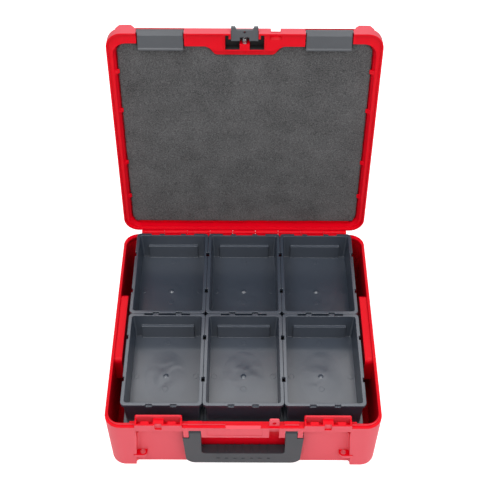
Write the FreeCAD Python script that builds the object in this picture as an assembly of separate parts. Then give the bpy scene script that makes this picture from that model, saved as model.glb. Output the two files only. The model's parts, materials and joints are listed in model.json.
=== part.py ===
"""Carrying case with a hinged lid, two latches, a handle, a push button and two layers of lift-out bins.

Millimetres, +Z up, front of the case towards -Y. The origin is the middle of the base's flat underside.
The lid and what hangs on it are drawn closed, then opened to the angle at which the case stands.
"""
import FreeCAD
import Part
import math
import os

V = FreeCAD.Vector
AXIS_X = V(1, 0, 0)
AXIS_Y = V(0, 1, 0)
AXIS_Z = V(0, 0, 1)
SIDES = (("left", -1), ("right", 1))

# Case as a whole
case_width = 440.0
case_depth = 412.0
base_height = 120.0
lid_edge_height = 20.0
lid_height = 28.0
corner_radius = 26.0
draft_angle = 1.0
lid_open_angle = 95.6
overrun = 2.0
front = -case_depth / 2
back = case_depth / 2
side = case_width / 2

# Base tub
base_wall = 3.0
base_floor = 3.0
bottom_round = 5.0
rim_width = 7.5
rim_side_width = 5.2
rim_back_width = 7.0
rim_depth = 4.0
rim_slope = 8.0
tongue_width = 1.6
tongue_height = 3.0
rim_bump_depth = 3.5
rim_bump_over = 0.4
arm_bump_half = 11.5
recess_depth = 12.0
recess_half = 169.5
recess_foot_half = 177.0
recess_round = 4.0
release_half = 28.0
release_depth = 5.0
release_drop = 3.5
rib_thickness = 3.0
rib_height = 12.0
rib_gap = 1.2
front_rib_count = 3
front_rib_pitch = 130.8
side_rib_count = 2
side_rib_pitch = 184.8

grip_front = -73.0
grip_back = 63.0
grip_recess_low = 62.0
grip_recess_high = 115.0
grip_recess_depth = 15.0
grip_recess_round = 6.0

# Hinge behind the case
hinge_set_back = 5.0
knuckle_radius = 4.5
knuckle_count = 9
knuckle_pitch = 42.0
knuckle_gap = 0.4
hinge_pin_radius = 1.5
pin_play = 0.05

# Latches and the catches that they snap onto
latch_edge_inset = 86.5
latch_width = 72.0
latch_barrel_width = 74.0
latch_pin_above = 12.0
latch_pin_inset = 4.0
latch_pin_radius = 2.4
latch_barrel_radius = 4.2
latch_head_drop = 2.5
latch_plate = 3.5
latch_drop = 27.5
latch_hook_reach = 3.0
latch_hook_height = 4.0
latch_hook_inset = 4.0
latch_hook_play = 0.5
latch_lip_height = 4.0
latch_lip_proud = 1.6
latch_face_play = 1.0
latch_hang_angle = 10.0
latch_end_play = 0.5
latch_pin_seat = 5.0
catch_width = 74.5
catch_depth = 16.4
catch_below = 10.0
catch_front_above = 7.0
catch_back_above = 12.5
catch_wall = 3.0
catch_round = 3.0
catch_slot_width = 11.0
catch_tooth_width = 13.0
catch_tooth_depth = 5.0
catch_play = 0.5

# Handle, its rail and its pins
arm_place = 76.5
arm_width = 18.5
arm_thickness = 11.0
arm_play = 0.75
handle_pivot_below = 17.0
handle_pivot_inset = 5.5
handle_pin_radius = 2.5
handle_pin_seat = 6.0
handle_shoulder_below = 31.0
handle_half_width = 96.5
handle_foot_half_width = 93.0
handle_bottom_above = 12.5
handle_corner = 16.0
grip_height = 29.5
grip_thickness = 17.0
grip_rib_inset = 3.0
opening_half = 67.5
opening_corner = 7.0
grip_rib_count = 7
grip_rib_pitch = 13.7
grip_rib_width = 2.5
grip_rib_height = 1.2
dimple_length = 6.0
dimple_width = 3.0
dimple_depth = 1.0
rail_half = 95.0
rail_drop = 29.0
rail_wall = 3.0
bay_play = 2.5
slot_head_room = 3.0
label_left = 57.0
label_right = 30.0
label_height = 17.5
label_depth = 0.8
label_below = 4.5

# Strap eyes beside the front pillars
eye_place = 164.0
eye_inset = 7.0
eye_height = 32.0
eye_thickness = 7.0
eye_radius = 7.0
eye_hole_radius = 4.5

# Padlock tab on the rim, right of the middle
tab_place = 49.0
tab_width = 16.0
tab_height = 17.0
tab_thickness = 3.0
tab_inset = 4.5
tab_hole_radius = 3.2
tab_slot_depth = 4.0
tab_play = 1.0
tab_room_depth = 12.5
notch_width = 15.0
notch_start = 5.0
notch_depth = 7.0

# Lid
skirt_wall = 3.0
flange_inset = 3.8
flange_width = 13.5
flange_slope = 4.0
flange_front_width = 20.1
flange_back_width = 5.5
panel_wall = 2.5
cavity_radius = 22.0
edge_round = 4.0
raised_inset = 24.0
bump_width = 18.0
bump_length = 44.0
bump_height = 7.0
bump_slope = 6.0
bump_inset = 21.0
box_depth = 33.5
box_reach = 44.0
box_round = 8.0
shoulder_depth = 25.0
box_half = 62.0
box_floor_half = 47.0
box_wall = 2.5
box_roof = 18.0
pocket_half = 31.0
pocket_front = 4.0
divider_thickness = 1.6
divider_proud = 0.5
divider_step = 9.0
divider_step_proud = 2.5
nub_places_share = (-0.318, -0.133, 0.133, 0.318)
nub_width = 8.0
nub_reach = 4.0
nub_height = 6.0
nub_clear = 0.6

# Foam pad
foam_thickness = 14.6
foam_play = 0.4
foam_pocket_reach = 33.0
foam_pocket_depth = 7.0

# Push button and its spring
button_half = 21.5
button_thickness = 4.5
button_above = 4.5
button_play = 0.4
button_out = 3.5
horn_out = 8.8
horn_width = 9.0
horn_slope = 2.5
button_inner = 15.5
notch_half = 7.5
notch_inner = 9.0
button_hole_radius = 2.0
button_hole_inset = 0.3
guide_width = 3.5
guide_length = 8.0
post_half = 8.0
post_front = 20.5
spring_radius = 3.6
spring_wire = 0.45
spring_turns = 4
spring_end_gap = 0.3
plate_thickness = 1.5
plate_play = 0.3

# Bins
bin_columns = ("left", "middle", "right")
bin_rows = ("front", "back")
bin_layers = ("lower", "upper")
bin_side_room = 24.1
bin_back_room = 8.0
bin_gap = 0.6
bin_pitch_height = 62.3
bin_block_front_clear = 1.5
bin_foot = 2.5
bin_seat_gap = 0.2
bin_foot_play = 1.0
bin_wall = 2.0
bin_floor = 2.0
bin_floor_above = 8.5
bin_flange = 3.5
bin_flange_height = 6.0
bin_corner = 7.0
bin_taper = 2.2
block_inset = 20.0
ledge_depth = 3.0
ledge_level = 38.6
room_corner = 4.0
clip_width = 9.0
clip_place = 19.5
clip_reach = 3.0
clip_height = 4.0
clip_play = 0.6
gate_radius = 4.5
gate_height = 1.6
side_notch_width = 9.0
side_notch_depth = 2.5
side_notch_place = 42.0

# Places worked out from the sizes above
rim = base_height
hinge_y = back + hinge_set_back
hinge_z = rim
latch_pin_y = front + latch_pin_inset
latch_pin_z = rim + latch_pin_above
pivot_y = front + handle_pivot_inset
pivot_z = rim - handle_pivot_below
rail_bottom = rim - rail_drop
recess_y = front + recess_depth
bay_y = pivot_y - arm_thickness / 2 + grip_thickness + bay_play
panel_under = rim + lid_height - panel_wall
foam_face = panel_under - foam_thickness
latch_place = side - latch_edge_inset
shoulder_half = latch_place - catch_width / 2 - catch_play
bin_front = front + box_depth + bin_block_front_clear
bin_width = (2 * (side - bin_side_room) - (len(bin_columns) - 1) * bin_gap) / len(bin_columns)
bin_length = (back - bin_back_room - bin_front - (len(bin_rows) - 1) * bin_gap) / len(bin_rows)
button_low = rim + button_above


def box(x0, x1, y0, y1, z0, z1):
    """Block between two corners."""
    return Part.makeBox(x1 - x0, y1 - y0, z1 - z0, V(x0, y0, z0))


def rod(radius, length, start, direction):
    return Part.makeCylinder(radius, length, start, direction)


def rounded_outline(x0, x1, y0, y1, radius, z):
    """Closed wire of a rectangle with round corners, level at z."""
    r = radius
    s = radius * math.sqrt(0.5)
    corners = ((x1 - r, y0 + r, 1, -1), (x1 - r, y1 - r, 1, 1),
               (x0 + r, y1 - r, -1, 1), (x0 + r, y0 + r, -1, -1))
    arcs = []
    for index, (cx, cy, dx, dy) in enumerate(corners):
        along_x = V(cx + dx * r, cy, z)
        along_y = V(cx, cy + dy * r, z)
        first, last = (along_y, along_x) if index % 2 == 0 else (along_x, along_y)
        arcs.append((first, V(cx + dx * s, cy + dy * s, z), last))
    edges = []
    for index, (first, middle, last) in enumerate(arcs):
        edges.append(Part.Arc(first, middle, last).toShape())
        edges.append(Part.makeLine(last, arcs[(index + 1) % len(arcs)][0]))
    return Part.Wire(edges)


def tapered_block(low, high):
    """Block between two rounded outlines, each given as x0, x1, y0, y1, radius, z."""
    return Part.makeLoft([rounded_outline(*low), rounded_outline(*high)], True, True)


def prism(points, direction):
    """Solid from a flat outline of corner points, drawn out along a direction."""
    wire = Part.makePolygon(points + [points[0]])
    return Part.Face(wire).extrude(direction)


def fuse(shapes):
    first, rest = shapes[0], shapes[1:]
    return first.fuse(rest).removeSplitter() if rest else first


def cut(shape, tools):
    return shape.cut(tools).removeSplitter() if tools else shape


def level_edges(shape, z):
    """Edges that lie wholly at one height."""
    tolerance = overrun / 1000
    found = []
    for edge in shape.Edges:
        span = edge.BoundBox
        if abs(span.ZMin - z) < tolerance and abs(span.ZMax - z) < tolerance:
            found.append(edge)
    return found


def open_lid(shape):
    """Turns a shape drawn on the closed lid to where the open lid carries it."""
    turned = shape.copy()
    turned.rotate(V(0, hinge_y, hinge_z), V(-1, 0, 0), lid_open_angle)
    return turned


def hang(shape):
    """Carries a shape with a latch pin of the open lid, without turning it."""
    start = V(0, latch_pin_y, latch_pin_z)
    angle = math.radians(lid_open_angle)
    dy = start.y - hinge_y
    dz = start.z - hinge_z
    end_y = hinge_y + dy * math.cos(angle) + dz * math.sin(angle)
    end_z = hinge_z - dy * math.sin(angle) + dz * math.cos(angle)
    moved = shape.copy()
    moved.translate(V(0, end_y - start.y, end_z - start.z))
    return moved


def draft_at(z):
    """How far the drafted base wall has drawn in at a height."""
    return (base_height - z) * math.tan(math.radians(draft_angle))


def base_section(inset, z):
    d = draft_at(z) + inset
    return (-side + d, side - d, front + d, back - d, corner_radius - d, z)


def rim_outline(less, z):
    """Inner outline of the rim at a height, or one that lies further out by a part of the rim's width."""
    across = rim_side_width - less
    return (-side + across, side - across, front + rim_width - less, back - rim_back_width + less,
            corner_radius - across, z)


def knuckles(odd):
    """Hinge knuckles of the base (odd) or of the lid, as solid barrels with their webs."""
    solids = []
    start = -knuckle_count * knuckle_pitch / 2
    for index in range(knuckle_count):
        if (index % 2 == 0) != odd:
            continue
        x0 = start + index * knuckle_pitch + knuckle_gap / 2
        x1 = x0 + knuckle_pitch - knuckle_gap
        barrel = rod(knuckle_radius, x1 - x0, V(x0, hinge_y, hinge_z), AXIS_X)
        low = hinge_z - knuckle_radius if odd else hinge_z
        high = hinge_z if odd else hinge_z + knuckle_radius
        web = box(x0, x1, back - base_wall, hinge_y, low, high)
        solids += [barrel, web]
    return solids


def hinge_bore():
    length = knuckle_count * knuckle_pitch + 2 * overrun
    return rod(hinge_pin_radius + pin_play, length, V(-length / 2, hinge_y, hinge_z), AXIS_X)


def hinge_pin():
    length = knuckle_count * knuckle_pitch - knuckle_gap
    return rod(hinge_pin_radius, length, V(-length / 2, hinge_y, hinge_z), AXIS_X)


def tub():
    """Drafted tub with its cavity, thick rim and the set-back front wall between the pillars."""
    outer = tapered_block(base_section(0, 0), base_section(0, rim))
    outer = outer.makeFillet(bottom_round, level_edges(outer, 0))
    slope_high = rim - rim_depth
    slope_low = slope_high - rim_slope
    mouth_low = rim_outline(0, slope_high)
    cavity = tapered_block(base_section(base_wall, base_floor), base_section(base_wall, slope_low))
    slope = tapered_block(base_section(base_wall, slope_low), mouth_low)
    mouth = tapered_block(mouth_low, rim_outline(0, rim))
    half = recess_foot_half + base_wall
    inner_front = box(-half, half, front, recess_y + base_wall, 0, slope_high)
    return outer.cut(cavity.fuse([slope, mouth]).cut(inner_front))


def front_recess():
    """Space cut from the front wall between the pillars, under the rail and the catches."""
    foot = recess_foot_half
    y = front - overrun
    points = [V(-foot, y, -overrun), V(foot, y, -overrun), V(recess_half, y, rail_bottom),
              V(-recess_half, y, rail_bottom)]
    low = prism(points, V(0, recess_depth + overrun, 0))
    edges = []
    for edge in low.Edges:
        span = edge.BoundBox
        if span.ZLength > rail_bottom / 2 and span.YMin > recess_y - overrun:
            edges.append(edge)
    low = low.makeFillet(recess_round, edges)
    cuts = [low]
    for name, sign in SIDES:
        inner, outer = sorted((sign * rail_half, sign * recess_half))
        cuts.append(box(inner, outer, front - overrun, recess_y, rail_bottom - overrun, rim - catch_below))
    return cuts


def rail_cuts():
    """Handle slots, pin holes, hollow and label panel of the rail in the middle of the front wall."""
    cuts = []
    half = arm_width / 2 + arm_play
    slot_top = pivot_z + arm_thickness / 2 + slot_head_room
    for name, sign in SIDES:
        x = sign * arm_place
        cuts.append(box(x - half, x + half, front - overrun, recess_y, rail_bottom - overrun, slot_top))
        reach = half + handle_pin_seat
        cuts.append(rod(handle_pin_radius, 2 * reach, V(x - reach, pivot_y, pivot_z), AXIS_X))
    hollow = arm_place - half - handle_pin_seat - rail_wall
    hollow_top = rim - rim_depth - rail_wall
    cuts.append(box(-hollow, hollow, front + rail_wall, recess_y, rail_bottom - overrun, hollow_top))
    top = rim - label_below
    cuts.append(box(-label_left, label_right, front - overrun, front + label_depth, top - label_height, top))
    slot = tab_width / 2
    cuts.append(box(tab_place - slot, tab_place + slot, front - overrun, front + tab_slot_depth,
                    rail_bottom - overrun, rim - rail_wall))
    return cuts


def handle_bay():
    """Deeper bay behind the handle's grip: the wall round it inside the tub, and the space itself."""
    wide = handle_half_width + arm_play
    foot = handle_foot_half_width + arm_play
    shoulder = rim - handle_shoulder_below
    half = wide + base_wall
    wall = box(-half, half, recess_y - overrun, bay_y + base_wall, 0, rail_bottom + rail_wall)
    y = recess_y - 2 * overrun
    right = [V(foot, y, -overrun), V(foot, y, handle_bottom_above), V(wide, y, shoulder),
             V(wide, y, rail_bottom)]
    points = right + [V(-p.x, y, p.z) for p in reversed(right)]
    return wall, prism(points, V(0, bay_y - y, 0))


def release_slope():
    """Slope in the middle of the front rim, under the push button, for the thumb."""
    y0 = front - overrun
    steep = release_drop / release_depth
    points = [V(-release_half, y0, rim - release_drop - overrun * steep), V(-release_half, y0, rim + overrun),
              V(-release_half, front + release_depth + overrun / steep, rim + overrun)]
    return prism(points, V(2 * release_half, 0, 0))


def tongue():
    """Raised tongue along the rim's inner edge, inside the lid's skirt; none at the back or by the tab."""
    top = rim + tongue_height
    outer = tapered_block(rim_outline(tongue_width, rim - overrun), rim_outline(tongue_width, top))
    inner = tapered_block(rim_outline(0, rim - 2 * overrun), rim_outline(0, top + overrun))
    behind = box(-side, side, back - corner_radius, back, rim, top + overrun)
    catch_start = latch_place - catch_width / 2
    by_tab = box(-release_half, catch_start, front, front + catch_depth, rim, top + overrun)
    return outer.cut([inner, behind, by_tab])


def catch(sign):
    """Catch block on the rim: low front lip, two pockets with a tooth each, and a tall back wall."""
    x = sign * latch_place
    half = catch_width / 2
    inner_y = front + catch_depth
    low = rim - catch_below
    wall_y = inner_y - catch_wall
    body = box(x - half, x + half, front, inner_y, low, rim + catch_front_above)
    plate = box(x - half, x + half, wall_y, inner_y, low, rim + catch_back_above)
    edges = [e for e in plate.Edges if e.BoundBox.YLength > catch_wall / 2 and e.BoundBox.ZMin > rim]
    plate = plate.makeFillet(catch_round, edges)
    solid = body.fuse(plate)
    cuts = []
    teeth = []
    pocket_width = half - catch_wall - catch_slot_width / 2 - catch_wall
    for hand in (-1, 1):
        near = x + hand * (catch_slot_width / 2 + catch_wall)
        x0, x1 = sorted((near, near + hand * pocket_width))
        cuts.append(box(x0, x1, front + catch_wall, wall_y, low + catch_wall, rim + catch_back_above))
        middle = (x0 + x1) / 2
        tooth_top = rim + catch_front_above
        teeth.append(box(middle - catch_tooth_width / 2, middle + catch_tooth_width / 2, front + catch_wall,
                         front + catch_wall + catch_tooth_depth, low, tooth_top))
    slot = catch_slot_width / 2
    cuts.append(box(x - slot, x + slot, front - overrun, front + catch_wall, rim - catch_below / 2,
                    rim + catch_back_above))
    return solid.cut(cuts).fuse(teeth)


def strap_eye(sign):
    """Level lug with a hole for a strap hook, in the corner of the recess."""
    x = sign * eye_place
    y = front + eye_inset
    low = eye_height - eye_thickness / 2
    high = eye_height + eye_thickness / 2
    disc = rod(eye_radius, eye_thickness, V(x, y, low), AXIS_Z)
    x0, x1 = sorted((x - sign * eye_radius, sign * (recess_foot_half + overrun)))
    arm = box(x0, x1, y, recess_y + overrun, low, high)
    pillar_side = box(*sorted((x, sign * (recess_foot_half + overrun))), y - eye_radius, recess_y, low, high)
    hole = rod(eye_hole_radius, eye_thickness + 2 * overrun, V(x, y, low - overrun), AXIS_Z)
    return disc.fuse([arm, pillar_side]), hole


def padlock_tab():
    """Upright tab on the rim with a hole, which stands in a pocket of the closed lid."""
    half = tab_width / 2
    y0 = front + tab_inset
    tab = box(tab_place - half, tab_place + half, y0, y0 + tab_thickness, rim - overrun, rim + tab_height)
    edges = [e for e in tab.Edges if e.BoundBox.YLength > tab_thickness / 2 and e.BoundBox.ZMin > rim]
    tab = tab.makeFillet(tab_hole_radius, edges)
    middle = rim + tongue_height + tab_hole_radius + tab_play
    hole = rod(tab_hole_radius, tab_thickness + 2 * overrun, V(tab_place, y0 - overrun, middle), AXIS_Y)
    return tab.cut(hole)


def base_ribs():
    """Low ribs on the tub's floor that keep the block of bins in its place."""
    ribs = []
    half = rib_thickness / 2
    low = base_floor - overrun / 2
    for index in range(front_rib_count):
        x = (index - (front_rib_count - 1) / 2) * front_rib_pitch
        ribs.append(box(x - half, x + half, recess_y + overrun, bin_front - rib_gap, low, rib_height))
    block_half = (len(bin_columns) * bin_width + (len(bin_columns) - 1) * bin_gap) / 2
    wall = side - draft_at(0) - base_wall / 2
    middle = bin_front + (len(bin_rows) * bin_length + bin_gap) / 2
    for name, sign in SIDES:
        for index in range(side_rib_count):
            y = middle + (index - (side_rib_count - 1) / 2) * side_rib_pitch
            x0, x1 = sorted((sign * (block_half + rib_gap), sign * wall))
            ribs.append(box(x0, x1, y - half, y + half, low, rib_height))
    return ribs


def side_grips():
    """Hand grips in the side walls: hollows pressed in from outside, and the walls round them inside."""
    walls = []
    hollows = []
    for name, sign in SIDES:
        inner = side - grip_recess_depth
        a, b = sorted((sign * inner, sign * (side + overrun)))
        hollow = box(a, b, grip_front, grip_back, grip_recess_low, grip_recess_high)
        edges = [e for e in hollow.Edges if e.BoundBox.XLength > overrun]
        hollows.append(hollow.makeFillet(grip_recess_round, edges))
        wall = side - draft_at(grip_recess_low) - base_wall / 2
        a, b = sorted((sign * (inner - base_wall), sign * wall))
        bulge = box(a, b, grip_front - base_wall, grip_back + base_wall, grip_recess_low - base_wall,
                    grip_recess_high + base_wall)
        edges = [e for e in bulge.Edges if e.BoundBox.XLength > overrun]
        walls.append(bulge.makeFillet(grip_recess_round + base_wall, edges))
    return walls, hollows


def rim_bumps():
    """Raised lengths behind the front rim, one over each handle arm."""
    bumps = []
    y0 = front + rim_width - overrun
    y1 = front + rim_width + rim_bump_depth
    low = rim - rim_depth - overrun
    top = rim + tongue_height + rim_bump_over
    for name, sign in SIDES:
        x = sign * arm_place
        bumps.append(box(x - arm_bump_half, x + arm_bump_half, y0, y1, low, top))
    return bumps


def base_shell():
    bay_wall, bay = handle_bay()
    shape = tub().fuse(bay_wall).cut(front_recess() + [bay])
    eyes = [strap_eye(sign) for name, sign in SIDES]
    catches = [catch(sign) for name, sign in SIDES]
    ring = tongue()
    clear = []
    seats = []
    for name, sign in SIDES:
        x0 = sign * latch_place - catch_width / 2
        x1 = x0 + catch_width
        clear.append(box(x0, x1, front, front + catch_depth, rim, rim + tongue_height + overrun))
        seats.append(box(x0, x1, front - overrun, front + rim_width, rim - catch_below, rim + overrun))
    shape = shape.cut(seats)
    lugs = [lug for lug, hole in eyes]
    walls, hollows = side_grips()
    shape = shape.fuse([ring.cut(clear), padlock_tab()] + catches + lugs + walls + base_ribs() + rim_bumps())
    shape = shape.fuse(knuckles(True))
    shape = shape.cut(rail_cuts() + hollows + [hole for lug, hole in eyes] + [hinge_bore(), release_slope()])
    return shape.removeSplitter()


def lid_outline(inset, z):
    return (-side + inset, side - inset, front + inset, back - inset, corner_radius - inset, z)


def centre_box(inset, inner, low, high):
    """Box behind the lid's front edge that holds the push button, with a shoulder up to each latch."""
    y0 = front + skirt_wall
    y1 = front + inner
    shoulder_y = front + shoulder_depth - inset
    half = []
    for x, y in ((shoulder_half, y0), (shoulder_half, shoulder_y), (box_half - inset, shoulder_y),
                 (box_floor_half - inset, y1)):
        half.append(V(x, y, low))
    points = half + [V(-p.x, p.y, low) for p in reversed(half)]
    shape = prism(points, V(0, 0, high - low))
    edges = []
    for edge in shape.Edges:
        span = edge.BoundBox
        if span.ZLength > overrun and abs(span.XMax) < shoulder_half - overrun:
            edges.append(edge)
    return shape.makeFillet(box_round, edges)


def cavity_outline(inset, z, wider=0):
    across = side - flange_width - inset + wider
    y0 = front + flange_front_width + inset
    y1 = back - flange_back_width - inset
    return (-across, across, y0, y1, cavity_radius, z)


def stacking_bumps(top):
    """Raised blocks near the four top corners of the lid, which locate a case stacked on it."""
    bumps = []
    for name, sx in SIDES:
        for sy in (-1, 1):
            x0 = side - bump_inset
            y0 = back
            low = top - edge_round
            x1 = x0 - bump_width
            points = [V(x0 + bump_slope, y0, low), V(x1 - bump_slope, y0, low), V(x1 - bump_slope, y0, top),
                      V(x1, y0, top + bump_height), V(x0, y0, top + bump_height), V(x0 + bump_slope, y0, top)]
            bump = prism([V(sx * p.x, sy * p.y, p.z) for p in points], V(0, -sy * bump_length, 0))
            bumps.append(bump)
    return bumps


def lid_body():
    """Skirt, flange, raised panel and corner bumps as one block, before it is hollowed."""
    edge_top = rim + lid_edge_height
    body = tapered_block(lid_outline(0, rim), lid_outline(0, edge_top))
    body = body.makeFillet(edge_round, level_edges(body, edge_top))
    rise = lid_height - lid_edge_height
    lid_top = rim + lid_height
    raised = tapered_block(lid_outline(raised_inset - rise, edge_top - edge_round),
                           lid_outline(raised_inset, lid_top))
    guard = tapered_block(lid_outline(0, rim), lid_outline(0, lid_top))
    bumps = [bump.common(guard) for bump in stacking_bumps(edge_top)]
    return body.fuse([raised] + bumps)


def lid_hollow():
    """Foam cavity, with the slope of the raised panel on its inside, less the button's box."""
    edge_under = rim + lid_edge_height - panel_wall
    slope_low = rim + flange_inset
    wide = cavity_outline(0, slope_low, flange_slope)
    mouth = tapered_block(cavity_outline(0, rim - overrun, flange_slope), wide)
    slope = tapered_block(wide, cavity_outline(0, foam_face))
    low = tapered_block(cavity_outline(0, foam_face), cavity_outline(0, edge_under))
    high = tapered_block(cavity_outline(0, edge_under - overrun), cavity_outline(0, panel_under))
    return mouth.fuse([slope, low, high.common(panel_slope(0))])


def panel_slope(inset):
    """Block under the slope round the lid's raised panel, one wall thickness inside it."""
    shape = tapered_block(lid_outline(raised_inset - lid_height + inset, rim),
                          lid_outline(raised_inset + inset, rim + lid_height))
    shape.translate(V(0, 0, -panel_wall * math.sqrt(2)))
    return shape


def latch_gap(sign):
    """Gap in the lid's front edge for a latch and its catch, right through the flange."""
    x = sign * latch_place
    half = catch_width / 2 + catch_play
    top = latch_pin_z + latch_barrel_radius + latch_end_play
    return box(x - half, x + half, front - overrun, front + flange_front_width + overrun, rim - overrun, top)


def button_pocket():
    """Room inside the centre box for the button, its spring and the post behind the spring."""
    y1 = front + box_depth - box_wall
    room = box(-pocket_half, pocket_half, front + pocket_front, y1, rim - overrun, rim + box_roof)
    post = box(-post_half, post_half, front + post_front, y1, rim - 2 * overrun, rim + box_roof)
    y_guide = front + pocket_front
    guides = []
    for name, sign in SIDES:
        x0 = sign * (button_half + button_play)
        a, b = sorted((x0, x0 + sign * guide_width))
        guides.append(box(a, b, y_guide, y_guide + guide_length, rim + flange_inset, rim + box_roof))
    half = button_half + button_play
    low = button_low - button_play
    inside = front + pocket_front + overrun
    mouth = box(-half, half, front - overrun, inside, low, button_low + button_thickness + button_play)
    gate = box(-half, half, front - overrun, inside, rim - overrun, low + overrun)
    return room.cut([post] + guides).fuse([mouth, gate])


def lock_plate():
    """Dark lining of the button's pocket, floor and inner wall, cut out round the post and the guides."""
    y0 = front + pocket_front + plate_play
    y1 = front + box_depth - box_wall - plate_play
    half = pocket_half - plate_play
    high = rim + box_roof
    low = high - plate_thickness
    plate = box(-half, half, y0, y1, low, high)
    plate = plate.fuse(box(-half, half, y1 - plate_thickness, y1, rim + flange_inset + plate_play, high))
    wide = post_half + plate_play
    cuts = [box(-wide, wide, front + post_front - plate_play, y1 + overrun, rim, high + overrun)]
    for name, sign in SIDES:
        x0 = button_half + button_play - plate_play
        a, b = sorted((sign * x0, sign * (x0 + guide_width + 2 * plate_play)))
        cuts.append(box(a, b, y0 - overrun, front + pocket_front + guide_length + plate_play,
                        low - overrun, high + overrun))
    return open_lid(cut(plate, cuts))


def foam_nubs():
    """Small wedges on the lid's side walls that hold the foam pad in."""
    nubs = []
    top = foam_face - nub_clear
    for name, sign in SIDES:
        wall_x = side - flange_width + flange_slope
        for share in nub_places_share:
            y = share * case_depth - nub_width / 2
            points = [V(sign * wall_x, y, top), V(sign * (wall_x - flange_slope - nub_reach), y, top),
                      V(sign * wall_x, y, top - nub_height)]
            nubs.append(prism(points, V(0, nub_width, 0)))
    return nubs


def lid_shell():
    shape = lid_body()
    boxes = [centre_box(0, box_depth, rim - 2 * overrun, rim + lid_height),
             centre_box(0, box_reach, foam_face, rim + lid_height)]
    hollow = lid_hollow().cut(boxes)
    recess = tapered_block(lid_outline(skirt_wall, rim - overrun),
                           lid_outline(skirt_wall, rim + flange_inset))
    half = tab_width / 2 + tab_play
    tab_room = box(tab_place - half, tab_place + half, front + tab_inset - tab_play,
                   front + tab_room_depth, rim - overrun, rim + tab_height + tab_play)
    half = notch_width / 2
    notch = box(tab_place - half, tab_place + half, front - overrun, front + notch_depth,
                rim + notch_start, rim + lid_edge_height + overrun)
    gaps = [latch_gap(sign) for name, sign in SIDES]
    shape = shape.cut([hollow, recess, tab_room, notch, button_pocket()] + gaps)
    dividers = []
    for name, sign in SIDES:
        x0, x1 = sorted((sign * pocket_half, sign * (pocket_half + divider_thickness)))
        level = rim + flange_inset
        inner_y = front + box_depth
        for start, proud in ((skirt_wall, divider_proud), (divider_step, divider_step_proud)):
            dividers.append(box(x0, x1, front + start, inner_y, level - proud, level + overrun))
    shape = shape.fuse(dividers + foam_nubs() + knuckles(False))
    pin_holes = [latch_pin_closed(sign, pin_play) for name, sign in SIDES]
    return open_lid(shape.cut(pin_holes + [hinge_bore()]).removeSplitter())


def lid_foam():
    """Flat foam pad that fills the lid's cavity round the button's box, set back behind the latches."""
    pad = tapered_block(cavity_outline(foam_play, foam_face),
                        cavity_outline(foam_play, panel_under - foam_play))
    pad = pad.common(panel_slope(foam_play))
    pad = pad.cut(centre_box(-foam_play, box_reach + foam_play, rim, rim + lid_height))
    half = catch_width / 2 + catch_play
    for name, sign in SIDES:
        x = sign * latch_place
        pad = pad.cut(box(x - half, x + half, front, front + foam_pocket_reach,
                          rim, foam_face + foam_pocket_depth))
    return open_lid(pad.removeSplitter())


def latch_pin_closed(sign, play):
    """Steel pin of a latch, seated in the lid at both ends of the gap."""
    half = catch_width / 2 + catch_play + latch_pin_seat - (0 if play else latch_end_play)
    start = V(sign * latch_place - half, latch_pin_y, latch_pin_z)
    return rod(latch_pin_radius + play, 2 * half, start, AXIS_X)


def latch_pin(sign):
    return hang(latch_pin_closed(sign, 0))


def latch(sign):
    """Latch plate with its barrel, the hook that snaps under the catch and a finger lip."""
    x0 = sign * latch_place - latch_width / 2
    x1 = x0 + latch_width
    inner_y = front - latch_face_play
    outer_y = inner_y - latch_plate
    bottom = latch_pin_z - latch_drop
    barrel_x = sign * latch_place - latch_barrel_width / 2
    barrel = rod(latch_barrel_radius, latch_barrel_width, V(barrel_x, latch_pin_y, latch_pin_z), AXIS_X)
    neck = latch_pin_z - latch_head_drop
    tangent = latch_barrel_radius * math.sqrt(0.5)
    head = [V(x0, outer_y, neck), V(x0, inner_y, neck), V(x0, latch_pin_y, latch_pin_z),
            V(x0, latch_pin_y - tangent, latch_pin_z + tangent)]
    head = prism(head, V(latch_width, 0, 0))
    plate = box(x0, x1, outer_y, inner_y, bottom, neck)
    hook_top = rim - catch_below - latch_hook_play
    hook_x = x0 + latch_hook_inset
    hook = [V(hook_x, inner_y, hook_top), V(hook_x, inner_y + latch_hook_reach, hook_top),
            V(hook_x, inner_y, hook_top - latch_hook_height)]
    hook = prism(hook, V(latch_width - 2 * latch_hook_inset, 0, 0))
    lip_y = outer_y - latch_lip_proud
    lip = [V(x0, outer_y, bottom), V(x0, lip_y, bottom), V(x0, lip_y, bottom + latch_lip_height / 2),
           V(x0, outer_y, bottom + latch_lip_height)]
    lip = prism(lip, V(latch_width, 0, 0))
    shape = fuse([plate, barrel, head, hook, lip])
    start = V(barrel_x - overrun, latch_pin_y, latch_pin_z)
    shape = cut(shape, [rod(latch_pin_radius + pin_play, latch_barrel_width + 2 * overrun, start, AXIS_X)])
    shape.rotate(V(0, latch_pin_y, latch_pin_z), V(-1, 0, 0), latch_hang_angle)
    return hang(shape)


def low_cross_edges(shape, z):
    """Edges along Y at the foot of a block, which take a corner radius."""
    found = []
    for edge in shape.Edges:
        span = edge.BoundBox
        if span.YLength > arm_thickness / 2 and span.ZMax < z + overrun:
            found.append(edge)
    return found


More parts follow.
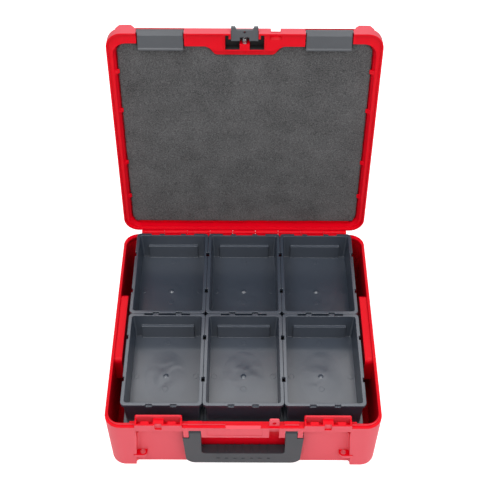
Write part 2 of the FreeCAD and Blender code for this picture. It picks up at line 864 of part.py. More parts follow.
def handle():
    """Carrying handle: two arms on their pins, shoulders and a ribbed grip."""
    y0 = pivot_y - arm_thickness / 2
    y1 = pivot_y + arm_thickness / 2
    shoulder = rim - handle_shoulder_below
    foot = handle_bottom_above
    inner_foot = foot + grip_height
    outline = [V(-handle_half_width, y0, shoulder), V(-handle_foot_half_width, y0, foot),
               V(handle_foot_half_width, y0, foot), V(handle_half_width, y0, shoulder)]
    plate = prism(outline, V(0, grip_thickness, 0))
    plate = plate.makeFillet(handle_corner, low_cross_edges(plate, foot))
    grip_y = y0 + grip_thickness
    opening = box(-opening_half, opening_half, y0 - overrun, grip_y + overrun, inner_foot, shoulder + overrun)
    opening = opening.makeFillet(opening_corner, low_cross_edges(opening, inner_foot))
    behind = box(-handle_half_width, handle_half_width, y1, grip_y + overrun, inner_foot, shoulder + overrun)
    plate = plate.cut([opening, behind])
    half = arm_width / 2
    for name, sign in SIDES:
        x = sign * arm_place
        arm = box(x - half, x + half, y0, y1, shoulder - overrun, pivot_z)
        plate = plate.fuse([arm, rod(arm_thickness / 2, arm_width, V(x - half, pivot_y, pivot_z), AXIS_X)])
    plate = plate.fuse(grip_ribs(y0, inner_foot))
    pin_holes = []
    for name, sign in SIDES:
        start = V(sign * arm_place - half - overrun, pivot_y, pivot_z)
        pin_holes.append(rod(handle_pin_radius + pin_play, arm_width + 2 * overrun, start, AXIS_X))
    return plate.cut(pin_holes + grip_dimples(y0, foot)).removeSplitter()


def grip_places():
    return [(index - (grip_rib_count - 1) / 2) * grip_rib_pitch for index in range(grip_rib_count)]


def grip_ribs(y0, inner_foot):
    """Low ribs across the top of the grip, between the fingers."""
    half = grip_rib_width / 2
    top = inner_foot + grip_rib_height
    near = y0 + grip_rib_inset
    far = y0 + grip_thickness
    return [box(x - half, x + half, near, far, inner_foot - overrun, top) for x in grip_places()]


def grip_dimples(y, foot):
    """Oval dimples along the front of the grip."""
    cuts = []
    z = foot + grip_height / 2
    r = dimple_width / 2
    run = (dimple_length - dimple_width) / 2
    for x in grip_places():
        slot = box(x - run, x + run, y - overrun, y + dimple_depth, z - r, z + r)
        ends = [rod(r, overrun + dimple_depth, V(x + s * run, y - overrun, z), AXIS_Y) for s in (-1, 1)]
        cuts.append(slot.fuse(ends))
    return cuts


def handle_pin(sign):
    """Steel pin through an arm of the handle, pressed into the rail on both sides."""
    reach = arm_width / 2 + arm_play + handle_pin_seat
    return rod(handle_pin_radius, 2 * reach, V(sign * arm_place - reach, pivot_y, pivot_z), AXIS_X)


def lock_button():
    """Push button plate with two horns at the front and a notch for the spring."""
    low = button_low
    horn_y = front - horn_out
    mid_y = front - button_out
    inner_y = front + button_inner
    notch_y = front + notch_inner
    points = [V(-button_half, horn_y, low), V(-button_half + horn_width - horn_slope, horn_y, low),
              V(-button_half + horn_width, mid_y, low), V(button_half - horn_width, mid_y, low),
              V(button_half - horn_width + horn_slope, horn_y, low), V(button_half, horn_y, low),
              V(button_half, inner_y, low), V(notch_half, inner_y, low), V(notch_half, notch_y, low),
              V(-notch_half, notch_y, low), V(-notch_half, inner_y, low), V(-button_half, inner_y, low)]
    plate = prism(points, V(0, 0, button_thickness))
    hole_y = front + button_hole_inset
    hole = rod(button_hole_radius, button_thickness + 2 * overrun, V(0, hole_y, low - overrun), AXIS_Z)
    return open_lid(plate.cut(hole))


def spring_point(turn):
    """Point on the spring's middle line after a number of turns, counted from the button."""
    start = front + notch_inner + spring_end_gap + spring_wire
    length = post_front - notch_inner - 2 * (spring_end_gap + spring_wire)
    angle = 2 * math.pi * turn
    z = button_low + button_thickness / 2 + spring_radius * math.sin(angle)
    return V(spring_radius * math.cos(angle), start + length * turn / spring_turns, z)


def lock_spring():
    """Coil spring between the button's notch and the post, one round wire on arcs of half a turn each."""
    half_turns = 2 * spring_turns
    edges = []
    for index in range(half_turns):
        ends = [spring_point((index + part) / 2) for part in (0, 0.5, 1)]
        edges.append(Part.Arc(*ends).toShape())
    path = Part.Wire(edges)
    first = path.OrderedEdges[0]
    tangent = first.tangentAt(first.FirstParameter)
    section = Part.Wire(Part.Circle(spring_point(0), tangent, spring_wire).toShape())
    shell = Part.BRepOffsetAPI.MakePipeShell(path)
    shell.add(section)
    shell.build()
    shell.makeSolid()
    pitch = (post_front - notch_inner - 2 * (spring_end_gap + spring_wire)) / spring_turns
    print("spring: least gap between turns", round(pitch - 2 * spring_wire, 3), "mm")
    return open_lid(shell.shape())


def bin_outline(inset, z):
    return (inset, bin_width - inset, inset, bin_length - inset, max(bin_corner - inset, room_corner), z)


def bin_clips():
    """Two tabs behind the rim of a bin and, in front, the notches that the next bin's tabs go into."""
    tabs = []
    notches = []
    middle = bin_width / 2
    top = bin_pitch_height
    for sign in (-1, 1):
        x = middle + sign * clip_place
        half = clip_width / 2
        y1 = bin_length - bin_flange
        tabs.append(box(x - half, x + half, y1 - overrun, y1 + clip_reach, top - clip_height, top))
        wide = half + clip_play
        low = top - clip_height - clip_play
        notches.append(box(x - wide, x + wide, -overrun, bin_flange - clip_play, low, top + overrun))
    return tabs, notches


def bin_part():
    """One lift-out bin, drawn with its shoulder level at zero and its corner at the origin."""
    top = bin_pitch_height
    flange_low = top - bin_flange_height
    outer = tapered_block(bin_outline(bin_flange + bin_taper, bin_seat_gap),
                          bin_outline(bin_flange, flange_low))
    flange = tapered_block(bin_outline(0, flange_low), bin_outline(0, top))
    middle = bin_width / 2
    back_trim = box(middle - clip_place * 2, middle + clip_place * 2, bin_length - bin_flange,
                    bin_length + overrun, flange_low - overrun, top + overrun)
    flange = flange.cut(back_trim)
    foot_inset = bin_flange + bin_wall + bin_foot_play
    foot = tapered_block(bin_outline(foot_inset + bin_taper, -bin_foot),
                         bin_outline(foot_inset + bin_taper, bin_seat_gap))
    shoulder = tapered_block(bin_outline(0, bin_seat_gap), bin_outline(0, bin_seat_gap + bin_floor))
    floor_top = bin_floor_above
    room = tapered_block(bin_outline(bin_flange + bin_wall + bin_taper, floor_top),
                         bin_outline(bin_flange + bin_wall, top))
    under_inset = foot_inset + bin_taper + bin_wall
    under = tapered_block(bin_outline(under_inset, -bin_foot - overrun),
                          bin_outline(under_inset, floor_top - bin_floor))
    tabs, notches = bin_clips()
    notches += bin_side_trims(flange_low)
    shape = outer.fuse([flange, foot, shoulder] + tabs).cut([room, under] + notches)
    return shape.fuse(bin_details(room, floor_top)).removeSplitter()


def bin_side_trims(flange_low):
    """Finger notches in the long sides of a bin's rim, two in each."""
    trims = []
    top = bin_pitch_height + overrun
    half = side_notch_width / 2
    for x0, x1 in ((-overrun, side_notch_depth), (bin_width - side_notch_depth, bin_width + overrun)):
        for sign in (-1, 1):
            y = bin_length / 2 + sign * side_notch_place
            trims.append(box(x0, x1, y - half, y + half, flange_low - overrun, top))
    return trims


def bin_details(room, floor_top):
    """Thicker foot in the middle of each end wall, and the low dome where the mould was filled."""
    details = []
    reach = bin_flange + bin_wall + bin_taper + ledge_depth
    for y0, y1 in ((0, reach), (bin_length - reach, bin_length)):
        details.append(box(block_inset, bin_width - block_inset, y0, y1, floor_top, ledge_level).common(room))
    dome = (gate_radius ** 2 + gate_height ** 2) / (2 * gate_height)
    middle = V(bin_width / 2, bin_length / 2, floor_top + gate_height - dome)
    details.append(Part.makeSphere(dome, middle).common(room))
    return details


def bins():
    """Every bin in its place, by node name: two layers, two rows and three columns."""
    pattern = bin_part()
    width_step = bin_width + bin_gap
    length_step = bin_length + bin_gap
    left = -(len(bin_columns) * width_step - bin_gap) / 2
    placed = {}
    for layer, layer_name in enumerate(bin_layers):
        for row, row_name in enumerate(bin_rows):
            for column, column_name in enumerate(bin_columns):
                copy = pattern.copy()
                lift = base_floor + bin_foot + layer * bin_pitch_height
                copy.translate(V(left + column * width_step, bin_front + row * length_step, lift))
                placed["bin_%s_%s_%s" % (layer_name, row_name, column_name)] = copy
    return placed


def build():
    parts = {"base_shell": base_shell(), "lid_shell": lid_shell(), "lid_foam": lid_foam(),
             "hinge_pin": hinge_pin(), "handle": handle(), "lock_button": lock_button(),
             "lock_spring": lock_spring(), "lock_plate": lock_plate()}
    for name, sign in SIDES:
        parts["latch_" + name] = latch(sign)
        parts["latch_pin_" + name] = latch_pin(sign)
        parts["handle_pin_" + name] = handle_pin(sign)
    parts.update(bins())
    os.makedirs("parts", exist_ok=True)
    for name, shape in parts.items():
        span = shape.BoundBox
        print(name, "solids", len(shape.Solids), "valid", shape.isValid())
        print("  x", round(span.XMin, 1), round(span.XMax, 1), "y", round(span.YMin, 1), round(span.YMax, 1),
              "z", round(span.ZMin, 1), round(span.ZMax, 1))
        shape.exportStep("parts/" + name + ".step")


build()
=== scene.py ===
"""Open tool case of moulded plastic: red shell and lid, dark lift-out bins, handle, latches and foam pad."""
import bpy
import bmesh
import json
import math
from mathutils import Matrix, Vector, noise


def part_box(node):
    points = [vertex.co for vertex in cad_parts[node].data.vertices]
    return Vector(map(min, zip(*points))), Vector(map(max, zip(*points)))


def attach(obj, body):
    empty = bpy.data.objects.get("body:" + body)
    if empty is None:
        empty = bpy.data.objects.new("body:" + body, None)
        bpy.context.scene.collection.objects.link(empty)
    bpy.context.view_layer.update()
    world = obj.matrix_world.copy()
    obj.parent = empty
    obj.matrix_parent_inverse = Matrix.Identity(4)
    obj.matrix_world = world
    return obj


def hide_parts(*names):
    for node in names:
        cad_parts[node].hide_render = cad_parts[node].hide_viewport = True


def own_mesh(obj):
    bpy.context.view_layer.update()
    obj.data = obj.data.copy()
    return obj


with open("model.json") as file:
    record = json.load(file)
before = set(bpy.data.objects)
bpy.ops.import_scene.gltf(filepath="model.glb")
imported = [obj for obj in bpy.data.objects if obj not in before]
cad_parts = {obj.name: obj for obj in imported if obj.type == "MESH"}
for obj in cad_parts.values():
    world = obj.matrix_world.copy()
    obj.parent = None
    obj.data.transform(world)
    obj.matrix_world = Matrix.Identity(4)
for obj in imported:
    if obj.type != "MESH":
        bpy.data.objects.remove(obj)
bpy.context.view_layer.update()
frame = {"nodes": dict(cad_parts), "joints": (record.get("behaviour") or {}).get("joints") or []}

# Base tub: one red ABS moulding with pillars, catches, handle rail, strap eyes and hinge knuckles.
# The mould leaves its edges slightly broken, its inside polished and its outside rougher; the outside's paler
# pink is painted sheen.
joints = {joint["name"]: joint for joint in frame["joints"]}


def linear(code):
    """A colour written as sRGB hex, as linear red, green, blue and alpha."""
    channels = [int(code[i:i + 2], 16) / 255 for i in (1, 3, 5)]
    return tuple(c / 12.92 if c <= 0.04045 else ((c + 0.055) / 1.055) ** 2.4 for c in channels) + (1.0,)


def start_material(name):
    """A new material, its node tree and the shader in it."""
    material = bpy.data.materials.new(name)
    material.use_nodes = True
    return material, material.node_tree, material.node_tree.nodes["Principled BSDF"]


def add_node(tree, kind, settings, links=()):
    """Adds a node, sets its inputs and properties by name or number, and links sockets to its inputs."""
    node = tree.nodes.new(kind)
    for key, value in settings.items():
        if isinstance(key, int) or key in node.inputs:
            node.inputs[key].default_value = value
        else:
            setattr(node, key, value)
    for key, source in links:
        tree.links.new(source, node.inputs[key])
    return node


def moulded_plastic(name, colour, flow_colour, roughness, specular, grain_mm, grain_depth_mm, flow_mm,
                    edge_mm):
    """Injection-moulded plastic: broken edges, fine grain, and slow flow marks in colour and gloss."""
    gloss_swing = 0.06
    grain_strength = 0.35
    edge_samples = 6
    material, tree, shader = start_material(name)
    place = add_node(tree, "ShaderNodeTexCoord", {}).outputs["Object"]
    flow = add_node(tree, "ShaderNodeTexNoise", {"Scale": 1000 / flow_mm, "Detail": 3.0},
                    [("Vector", place)])
    grain = add_node(tree, "ShaderNodeTexNoise", {"Scale": 1000 / grain_mm, "Detail": 2.0},
                     [("Vector", place)])
    tint = add_node(tree, "ShaderNodeMix", {"data_type": "RGBA", 6: linear(colour), 7: linear(flow_colour)},
                    [(0, flow.outputs["Fac"])])
    gloss = add_node(tree, "ShaderNodeMapRange",
                     {"To Min": roughness - gloss_swing, "To Max": roughness + gloss_swing},
                     [("Value", flow.outputs["Fac"])])
    edge = add_node(tree, "ShaderNodeBevel", {"samples": edge_samples, "Radius": edge_mm / 1000})
    bump = add_node(tree, "ShaderNodeBump", {"Strength": grain_strength, "Distance": grain_depth_mm / 1000},
                    [("Height", grain.outputs["Fac"]), ("Normal", edge.outputs["Normal"])])
    shader.inputs["Specular IOR Level"].default_value = specular
    tree.links.new(tint.outputs[2], shader.inputs["Base Color"])
    tree.links.new(gloss.outputs["Result"], shader.inputs["Roughness"])
    tree.links.new(bump.outputs["Normal"], shader.inputs["Normal"])
    return material


def red_abs(name, painted_sheen_colour, turn, front_reach):
    """Red ABS, polished inside and on the rim; outer faces, found by place and facing, are rougher and carry
    a paler painted sheen.

    The turn lays the open lid back on the tub, so that one set of places serves both. A reach says how far
    out from the origin the rough texture and the painted sheen start.
    """
    back_reach = 0.19
    side_reach = 0.2
    top_reach = 0.133
    under_reach = -0.004
    fade = 0.0008
    facing_from = 0.4
    facing_to = 0.6
    outer_roughness = 0.18
    material = moulded_plastic(name, colour="#E2041C", flow_colour="#DA021A", roughness=0.34, specular=0.12,
                               grain_mm=0.9, grain_depth_mm=0.05, flow_mm=70, edge_mm=1.0)
    tree = material.node_tree
    shader = tree.nodes["Principled BSDF"]
    hinge = Vector(joints["lid_hinge"]["pos_m"])
    shift = hinge - Matrix.Rotation(turn, 3, "X") @ hinge
    coords = add_node(tree, "ShaderNodeTexCoord", {})
    place = add_node(tree, "ShaderNodeMapping", {"Location": shift, "Rotation": (turn, 0, 0)},
                     [("Vector", coords.outputs["Object"])])
    facing = add_node(tree, "ShaderNodeMapping", {"vector_type": "VECTOR", "Rotation": (turn, 0, 0)},
                      [("Vector", coords.outputs["Normal"])])
    places = add_node(tree, "ShaderNodeSeparateXYZ", {}, [(0, place.outputs[0])])
    facings = add_node(tree, "ShaderNodeSeparateXYZ", {}, [(0, facing.outputs[0])])
    texture_and_sheen_share = None
    for axis, sign, reach in ((1, -1, front_reach), (1, 1, back_reach), (0, -1, side_reach),
                              (0, 1, side_reach), (2, 1, top_reach), (2, -1, under_reach)):
        beyond = add_node(tree, "ShaderNodeMapRange",
                          {"From Min": sign * (reach - fade), "From Max": sign * reach},
                          [("Value", places.outputs[axis])])
        turned = add_node(tree, "ShaderNodeMapRange",
                          {"From Min": sign * facing_from, "From Max": sign * facing_to},
                          [("Value", facings.outputs[axis])])
        both = add_node(tree, "ShaderNodeMath", {"operation": "MULTIPLY"},
                        [(0, beyond.outputs[0]), (1, turned.outputs[0])])
        if texture_and_sheen_share:
            both = add_node(tree, "ShaderNodeMath", {"operation": "MAXIMUM"},
                            [(0, texture_and_sheen_share), (1, both.outputs[0])])
        texture_and_sheen_share = both.outputs[0]
    colour = shader.inputs["Base Color"].links[0].from_socket
    gloss = shader.inputs["Roughness"].links[0].from_socket
    # Painted sheen: outer faces get a paler pink base colour that stands for the whitish haze of broad light
    # on textured plastic.
    painted_sheen_tint = add_node(tree, "ShaderNodeMix", {"data_type": "RGBA", 7: linear(painted_sheen_colour)},
                    [(0, texture_and_sheen_share), (6, colour)])
    rough = add_node(tree, "ShaderNodeMath", {"operation": "MULTIPLY_ADD", 1: outer_roughness},
                     [(0, texture_and_sheen_share), (2, gloss)])
    tree.links.new(painted_sheen_tint.outputs[2], shader.inputs["Base Color"])
    tree.links.new(rough.outputs[0], shader.inputs["Roughness"])
    return material


def finish(nodes, material):
    """Gives carried-over CAD nodes their finish."""
    for node in nodes:
        for holder in frame["nodes"][node].material_slots:
            holder.material = material


# The tub's outer colour is painted sheen: a pale pink for the haze of broad light on its textured outside.
base_red = red_abs("red_abs_base", painted_sheen_colour="#E65C67", turn=0.0, front_reach=0.193)
finish(["base_shell"], base_red)

# Lid: the second red ABS moulding, with its skirt, raised panel, button box and the gaps for the latches.
# It turns on the steel rod behind the case and has the same polished inside and textured outside as the tub,
# with the same painted sheen on its outer faces; that outer colour is a shade darker than the tub's, painted
# shade that holds down its strongly lit top.
lid_angle = math.radians(-joints["lid_hinge"]["range_deg"][0])
lid_red = red_abs("red_abs_lid", painted_sheen_colour="#D2525C", turn=lid_angle, front_reach=0.2)
finish(["lid_shell"], lid_red)

# Hinge rod, latch pins and handle pins: drawn steel wire, cut to length and pressed or slid into their holes.
# Drawing leaves fine lines along the wire, made coarser here than they are so that they show.
steel_lines_per_m = (40.0, 2500.0, 2500.0)
steel_smoothest = 0.22
steel_roughest = 0.4
drawn_steel, steel_tree, steel = start_material("drawn_steel_wire")
steel.inputs["Metallic"].default_value = 1.0
steel_place = add_node(steel_tree, "ShaderNodeTexCoord", {}).outputs["Object"]
steel_scaled = add_node(steel_tree, "ShaderNodeMapping", {"Scale": steel_lines_per_m},
                        [("Vector", steel_place)])
steel_lines = add_node(steel_tree, "ShaderNodeTexNoise", {"Scale": 1.0, "Detail": 3.0},
                       [("Vector", steel_scaled.outputs["Vector"])]).outputs["Fac"]
steel_tint = add_node(steel_tree, "ShaderNodeMix",
                      {"data_type": "RGBA", 6: linear("#8E9093"), 7: linear("#A9ABAE")}, [(0, steel_lines)])
steel_gloss = add_node(steel_tree, "ShaderNodeMapRange",
                       {"To Min": steel_smoothest, "To Max": steel_roughest}, [("Value", steel_lines)])
steel_tree.links.new(steel_tint.outputs[2], steel.inputs["Base Color"])
steel_tree.links.new(steel_gloss.outputs["Result"], steel.inputs["Roughness"])
finish(["hinge_pin", "latch_pin_left", "latch_pin_right", "handle_pin_left", "handle_pin_right"], drawn_steel)


# Coil spring of the push button: drawn steel wire, wound cold, between the button's notch and the lid's post.
# Its far end rests on the post.
def add_object(name, data):
    """A new object in the scene that shows the data."""
    thing = bpy.data.objects.new(name, data)
    bpy.context.scene.collection.objects.link(thing)
    return thing


spring_mesh = frame["nodes"]["lock_spring"].data.copy()
spring_mesh.materials.clear()
spring_mesh.materials.append(drawn_steel)
coil_spring = add_object("coil_spring", spring_mesh)
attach(coil_spring, "lid")
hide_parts("lock_spring")
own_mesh(coil_spring)

# Foam pad in the lid: a sheet of open-cell polyurethane foam, cut to shape and pressed in behind the nubs.
# It is the CAD pad, remeshed and smoothed; its cut edges wander and its face is uneven, always inwards.
foam_voxel = 0.0028
foam_weld = 0.00001
foam_smoothings = 2
foam_face_swell = 0.0007
foam_face_waves_per_m = 28.0
foam_fine_waves_per_m = 75.0
foam_fine_share = 0.5
foam_edge_wander = 0.0012
foam_edge_waves_per_m = 55.0
foam_edge_mean = 0.6
foam_edge_swing = 0.5
foam_facing_limit = 0.5
foam_out = Vector((0.0, -math.sin(lid_angle), -math.cos(lid_angle)))
foam_block = add_object("foam_block", frame["nodes"]["lid_foam"].data.copy())
foam_shape = bmesh.new()
foam_shape.from_mesh(foam_block.data)
bmesh.ops.remove_doubles(foam_shape, verts=foam_shape.verts, dist=foam_weld)
foam_shape.to_mesh(foam_block.data)
foam_shape.free()
foam_remesh = foam_block.modifiers.new("cells", "REMESH")
foam_remesh.mode = "VOXEL"
foam_remesh.voxel_size = foam_voxel
foam_mesh = bpy.data.meshes.new_from_object(foam_block.evaluated_get(bpy.context.evaluated_depsgraph_get()))
bpy.data.objects.remove(foam_block)
foam_shape = bmesh.new()
foam_shape.from_mesh(foam_mesh)
for smoothing in range(foam_smoothings):
    bmesh.ops.smooth_vert(foam_shape, verts=foam_shape.verts, factor=0.5, use_axis_x=True, use_axis_y=True,
                          use_axis_z=True)
foam_shape.normal_update()
for vert in foam_shape.verts:
    facing = vert.normal.dot(foam_out)
    if facing > foam_facing_limit:
        wave = noise.noise(vert.co * foam_face_waves_per_m)
        wave += foam_fine_share * noise.noise(vert.co * foam_fine_waves_per_m)
        vert.co += foam_out * foam_face_swell * (wave - 1.0)
    elif facing > -foam_facing_limit:
        sideways = vert.normal - facing * foam_out
        wave = foam_edge_mean + foam_edge_swing * noise.noise(vert.co * foam_edge_waves_per_m)
        vert.co -= sideways * foam_edge_wander * wave
foam_shape.to_mesh(foam_mesh)
foam_shape.free()
foam_mesh.shade_smooth()

# The foam's cells show as a coarse dark grain, with larger patches where the cut ran through denser foam.
foam_cell_mm = 1.9
foam_patches_per_m = 22.0
foam_patch_share = 0.25
foam_darkest = 0.42
foam_palest = 0.84
foam_cell_depth = 0.0006
cut_foam, foam_tree, foam_shader = start_material("open_cell_pu_foam_cut")
foam_shader.inputs["Specular IOR Level"].default_value = 0.15
foam_shader.inputs["Roughness"].default_value = 0.95
foam_place = add_node(foam_tree, "ShaderNodeTexCoord", {}).outputs["Object"]
foam_cells = add_node(foam_tree, "ShaderNodeTexNoise",
                      {"Scale": 1000 / foam_cell_mm, "Detail": 3.0, "Roughness": 0.65},
                      [("Vector", foam_place)])
foam_patches = add_node(foam_tree, "ShaderNodeTexNoise", {"Scale": foam_patches_per_m, "Detail": 2.0},
                        [("Vector", foam_place)])
foam_sum = add_node(foam_tree, "ShaderNodeMath", {"operation": "MULTIPLY_ADD", 1: foam_patch_share},
                    [(0, foam_patches.outputs["Fac"]), (2, foam_cells.outputs["Fac"])])
foam_level = add_node(foam_tree, "ShaderNodeMapRange", {"From Min": foam_darkest, "From Max": foam_palest},
                      [("Value", foam_sum.outputs["Value"])])
foam_tint = add_node(foam_tree, "ShaderNodeMix",
                     {"data_type": "RGBA", 6: linear("#373738"), 7: linear("#6C6C6D")},
                     [(0, foam_level.outputs["Result"])])
foam_bump = add_node(foam_tree, "ShaderNodeBump", {"Strength": 0.7, "Distance": foam_cell_depth},
                     [("Height", foam_cells.outputs["Fac"])])
foam_tree.links.new(foam_tint.outputs[2], foam_shader.inputs["Base Color"])
foam_tree.links.new(foam_bump.outputs["Normal"], foam_shader.inputs["Normal"])
foam_mesh.materials.clear()
foam_mesh.materials.append(cut_foam)
foam_pad = add_object("foam_pad", foam_mesh)
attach(foam_pad, "lid")
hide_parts("lid_foam")

# Latches, push button and the plate under the button: satin polyamide mouldings in dark grey and black; the
# plate's near-black also stands for the painted shade of the deep pockets beside the button.
# The latches hang on their pins; the button slides over the plate in the lid's box, against its spring.
dark_polyamide = moulded_plastic("dark_grey_polyamide_moulded", colour="#46494E", flow_colour="#3E4146",
                                 roughness=0.4, specular=0.5, grain_mm=0.8, grain_depth_mm=0.05, flow_mm=40,
                                 edge_mm=0.8)
finish(["latch_left", "latch_right", "lock_button"], dark_polyamide)
# The plate is near-black partly as its own colour and partly as painted shade, so that the pockets beside the
# button read dark.
plate_and_pocket_shade = moulded_plastic("near_black_plate_and_pocket_shade", colour="#0B0B0C", flow_colour="#080809",
                                  roughness=0.7, specular=0.5, grain_mm=0.8, grain_depth_mm=0.05, flow_mm=40,
                                  edge_mm=0.4)
finish(["lock_plate"], plate_and_pocket_shade)

# Handle: one thick bow of dark grey glass-filled polyamide with ribs and dimples along its grip.
# The filler leaves it matt; it turns on the two steel pins in the base's rail.
handle_polyamide = moulded_plastic("grey_filled_polyamide_matt", colour="#33353B", flow_colour="#2E3035",
                                   roughness=0.5, specular=0.3, grain_mm=1.0, grain_depth_mm=0.07, flow_mm=50,
                                   edge_mm=1.0)
finish(["handle"], handle_polyamide)


# Bins: twelve equal polypropylene boxes in dark blue-grey, two layers of six, each on its stepped foot.
# The moulded faces have a waxy gloss. Round the gate in the middle of each floor the plastic has set with
# shallow swirls, which fade outwards.
def middle_of(node):
    """The middle of a node's box."""
    low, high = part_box(node)
    return (low + high) / 2


bin_home = middle_of("bin_upper_front_middle")
bin_half_x = (middle_of("bin_upper_front_right").x - bin_home.x) / 2
bin_half_y = (middle_of("bin_upper_back_middle").y - bin_home.y) / 2
swirl_reach = 0.036
swirl_stretch_y = 0.7
swirl_left_beyond = 0.08
swirls_per_m = 38.0
swirl_depth = 0.005
bin_polypropylene = moulded_plastic("blue_grey_polypropylene_moulded", colour="#353D4A",
                                    flow_colour="#2E3641", roughness=0.31, specular=1.0, grain_mm=1.0,
                                    grain_depth_mm=0.05, flow_mm=60, edge_mm=1.3)
bin_tree = bin_polypropylene.node_tree
bin_place = add_node(bin_tree, "ShaderNodeTexCoord", {}).outputs["Object"]
bin_shifted = add_node(bin_tree, "ShaderNodeVectorMath",
                       {"operation": "SUBTRACT", 1: (bin_home.x, bin_home.y, 0.0)}, [(0, bin_place)])
bin_local = add_node(bin_tree, "ShaderNodeVectorMath",
                     {"operation": "WRAP", 1: (bin_half_x, bin_half_y, 1.0),
                      2: (-bin_half_x, -bin_half_y, -1.0)}, [(0, bin_shifted.outputs[0])])
bin_flat = add_node(bin_tree, "ShaderNodeVectorMath",
                    {"operation": "MULTIPLY", 1: (1.0, swirl_stretch_y, 0.0)}, [(0, bin_local.outputs[0])])
gate_distance = add_node(bin_tree, "ShaderNodeVectorMath", {"operation": "LENGTH"},
                         [(0, bin_flat.outputs[0])])
gate_share = add_node(bin_tree, "ShaderNodeMapRange",
                      {"From Min": 0.0, "From Max": swirl_reach, "To Min": 1.0, "To Max": swirl_left_beyond},
                      [("Value", gate_distance.outputs["Value"])])
swirl = add_node(bin_tree, "ShaderNodeTexNoise", {"Scale": swirls_per_m, "Detail": 0.5, "Distortion": 0.4},
                 [("Vector", bin_place)])
swirl_height = add_node(bin_tree, "ShaderNodeMath", {"operation": "MULTIPLY"},
                        [(0, swirl.outputs["Fac"]), (1, gate_share.outputs[0])])
grain_bump = bin_tree.nodes["Principled BSDF"].inputs["Normal"].links[0].from_node
edge_normal = grain_bump.inputs["Normal"].links[0].from_socket
swirl_bump = add_node(bin_tree, "ShaderNodeBump", {"Strength": 0.5, "Distance": swirl_depth},
                      [("Height", swirl_height.outputs[0]), ("Normal", edge_normal)])
bin_tree.links.new(swirl_bump.outputs["Normal"], grain_bump.inputs["Normal"])
bin_nodes = [node for node in sorted(frame["nodes"]) if node.startswith("bin_")]
finish(bin_nodes, bin_polypropylene)

# Ejector marks: the discs that the mould's ejector pins leave on the floor of each bin, a hair proud of it.
# They are part of the bin's own plastic; four on each floor, round the gate and near the back wall.
mark_radius = 0.005
mark_height = 0.0003
mark_sides = 28
mark_beside = 0.05
mark_before = 0.025
mark_behind = 0.07
mark_places = ((-mark_beside, 0.0), (mark_beside, 0.0), (0.0, -mark_before), (0.0, mark_behind))
floor_above_foot = 0.011
marks_tree = bpy.data.node_groups.new("ejector_marks", "GeometryNodeTree")
marks_tree.interface.new_socket("Places", in_out="INPUT", socket_type="NodeSocketGeometry")
mark_size = marks_tree.interface.new_socket("Radius", in_out="INPUT", socket_type="NodeSocketFloat")
marks_tree.interface.new_socket("Marks", in_out="OUTPUT", socket_type="NodeSocketGeometry")
marks_in = add_node(marks_tree, "NodeGroupInput", {})
mark_disc = add_node(marks_tree, "GeometryNodeMeshCylinder", {"Vertices": mark_sides, "Depth": mark_height},
                     [("Radius", marks_in.outputs["Radius"])])
mark_points = add_node(marks_tree, "GeometryNodeMeshToPoints", {}, [("Mesh", marks_in.outputs["Places"])])
mark_copies = add_node(marks_tree, "GeometryNodeInstanceOnPoints", {},
                       [("Points", mark_points.outputs[0]), ("Instance", mark_disc.outputs["Mesh"])])
mark_real = add_node(marks_tree, "GeometryNodeRealizeInstances", {}, [("Geometry", mark_copies.outputs[0])])
mark_paint = add_node(marks_tree, "GeometryNodeSetMaterial", {"Material": bin_polypropylene},
                      [("Geometry", mark_real.outputs[0])])
add_node(marks_tree, "NodeGroupOutput", {}, [("Marks", mark_paint.outputs[0])])
for node in bin_nodes:
    middle = middle_of(node)
    bin_floor_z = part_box(node)[0].z + floor_above_foot
    places_mesh = bpy.data.meshes.new(node + "_places")
    places_mesh.from_pydata([(middle.x + x, middle.y + y, bin_floor_z) for x, y in mark_places], [], [])
    places = add_object(node + "_places", places_mesh)
    grow = places.modifiers.new("marks", "NODES")
    grow.node_group = marks_tree
    grow[mark_size.identifier] = mark_radius
    marks_mesh = bpy.data.meshes.new_from_object(places.evaluated_get(bpy.context.evaluated_depsgraph_get()))
    bpy.data.objects.remove(places)
    marks = add_object("ejector_marks_" + node, marks_mesh)
    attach(marks, node)


# Studio floor: a white paper sweep that lies a hair under the case, so that the two faces don't coincide.
# It glows only where it is seen directly, so that it looks white without lighting the case from below.
def seen_directly(tree):
    """One for rays that show the background itself: from the camera, in a reflection or through glass."""
    path = add_node(tree, "ShaderNodeLightPath", {})
    first = add_node(tree, "ShaderNodeMath", {"operation": "MAXIMUM"},
                     [(0, path.outputs["Is Camera Ray"]), (1, path.outputs["Is Glossy Ray"])])
    both = add_node(tree, "ShaderNodeMath", {"operation": "MAXIMUM"},
                    [(0, first.outputs["Value"]), (1, path.outputs["Is Transmission Ray"])])
    return both.outputs["Value"]


floor_size = 12.0
floor_z = -0.0003
floor_corners = [(-floor_size, -floor_size, floor_z), (floor_size, -floor_size, floor_z),
                 (floor_size, floor_size, floor_z), (-floor_size, floor_size, floor_z)]
paper_glow_level = 0.72
white_paper, paper_tree, paper = start_material("white_paper_sweep")
paper.inputs["Base Color"].default_value = linear("#E8E8E8")
paper.inputs["Roughness"].default_value = 0.9
paper.inputs["Specular IOR Level"].default_value = 0.0
paper_lift = add_node(paper_tree, "ShaderNodeMath", {"operation": "MULTIPLY", 1: paper_glow_level},
                      [(0, seen_directly(paper_tree))])
paper_glow = add_node(paper_tree, "ShaderNodeEmission", {"Color": (1, 1, 1, 1)},
                      [("Strength", paper_lift.outputs["Value"])])
paper_sum = add_node(paper_tree, "ShaderNodeAddShader", {},
                     [(0, paper.outputs["BSDF"]), (1, paper_glow.outputs["Emission"])])
paper_tree.links.new(paper_sum.outputs["Shader"], paper_tree.nodes["Material Output"].inputs["Surface"])
floor_mesh = bpy.data.meshes.new("studio_floor")
floor_mesh.from_pydata(floor_corners, [], [(0, 1, 2, 3)])
floor_mesh.materials.append(white_paper)
floor = add_object("studio_floor", floor_mesh)

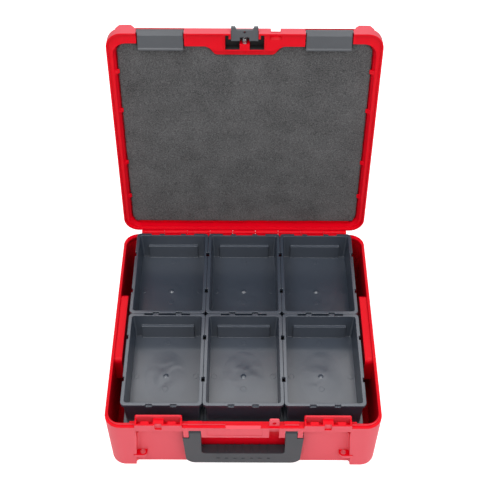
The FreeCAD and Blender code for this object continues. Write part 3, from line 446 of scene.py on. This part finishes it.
# Light: a white room that is dimmer as a light than it looks, two small softboxes overhead, one behind the
# lid, and a large key and fill in front. Each lamp has a name, a place, a size in metres and its watts.
air_light = 0.38
air_seen = 1.0
studio = bpy.data.worlds.new("studio_air")
bpy.context.scene.world = studio
studio.use_nodes = True
air_tree = studio.node_tree
air = air_tree.nodes["Background"]
air.inputs["Color"].default_value = (1, 1, 1, 1)
air_level = add_node(air_tree, "ShaderNodeMapRange", {"To Min": air_light, "To Max": air_seen},
                     [("Value", seen_directly(air_tree))])
air_tree.links.new(air_level.outputs["Result"], air.inputs["Strength"])
lamp_aim = Vector((0.0, 0.0, 0.2))
lamps = (("left_softbox", Vector((-0.75, -0.1, 2.1)), 0.8, 9.0),
         ("right_softbox", Vector((0.75, -0.1, 2.1)), 0.8, 9.0),
         ("back_softbox", Vector((0.0, 1.45, 1.95)), 1.2, 11.5),
         ("key_light", Vector((-0.6, -1.5, 2.5)), 1.5, 27.0),
         ("fill_light", Vector((1.2, -1.6, 1.8)), 1.4, 17.0))
for lamp_name, lamp_place, lamp_size, lamp_watts in lamps:
    lamp_data = bpy.data.lights.new(lamp_name, "AREA")
    lamp_data.size = lamp_size
    lamp_data.energy = lamp_watts
    lamp = add_object(lamp_name, lamp_data)
    lamp.location = lamp_place
    lamp.rotation_euler = (lamp_aim - lamp_place).to_track_quat("-Z", "Y").to_euler()

# Camera: the photo's own viewpoint, fitted to the case's outlines. It stands before the case and looks down
# into it; the pitch is the angle below level, and the roll is the small lean of the photo.
camera_place = (0.00175, -1.01006, 1.45305)
camera_pitch = math.radians(48.253)
camera_roll = math.radians(0.223)
camera_lens_mm = 71.643
camera_sensor_mm = 36.0
camera_data = bpy.data.cameras.new("photo_camera")
camera_data.lens = camera_lens_mm
camera_data.sensor_width = camera_sensor_mm
camera_data.sensor_fit = "HORIZONTAL"
camera_tilt = Matrix.Rotation(math.pi / 2 - camera_pitch, 3, "X")
camera = add_object("photo_camera", camera_data)
camera.location = camera_place
camera.rotation_euler = (camera_tilt @ Matrix.Rotation(camera_roll, 3, "Z")).to_euler()
bpy.context.scene.camera = camera
bpy.context.scene.view_settings.view_transform = "Standard"
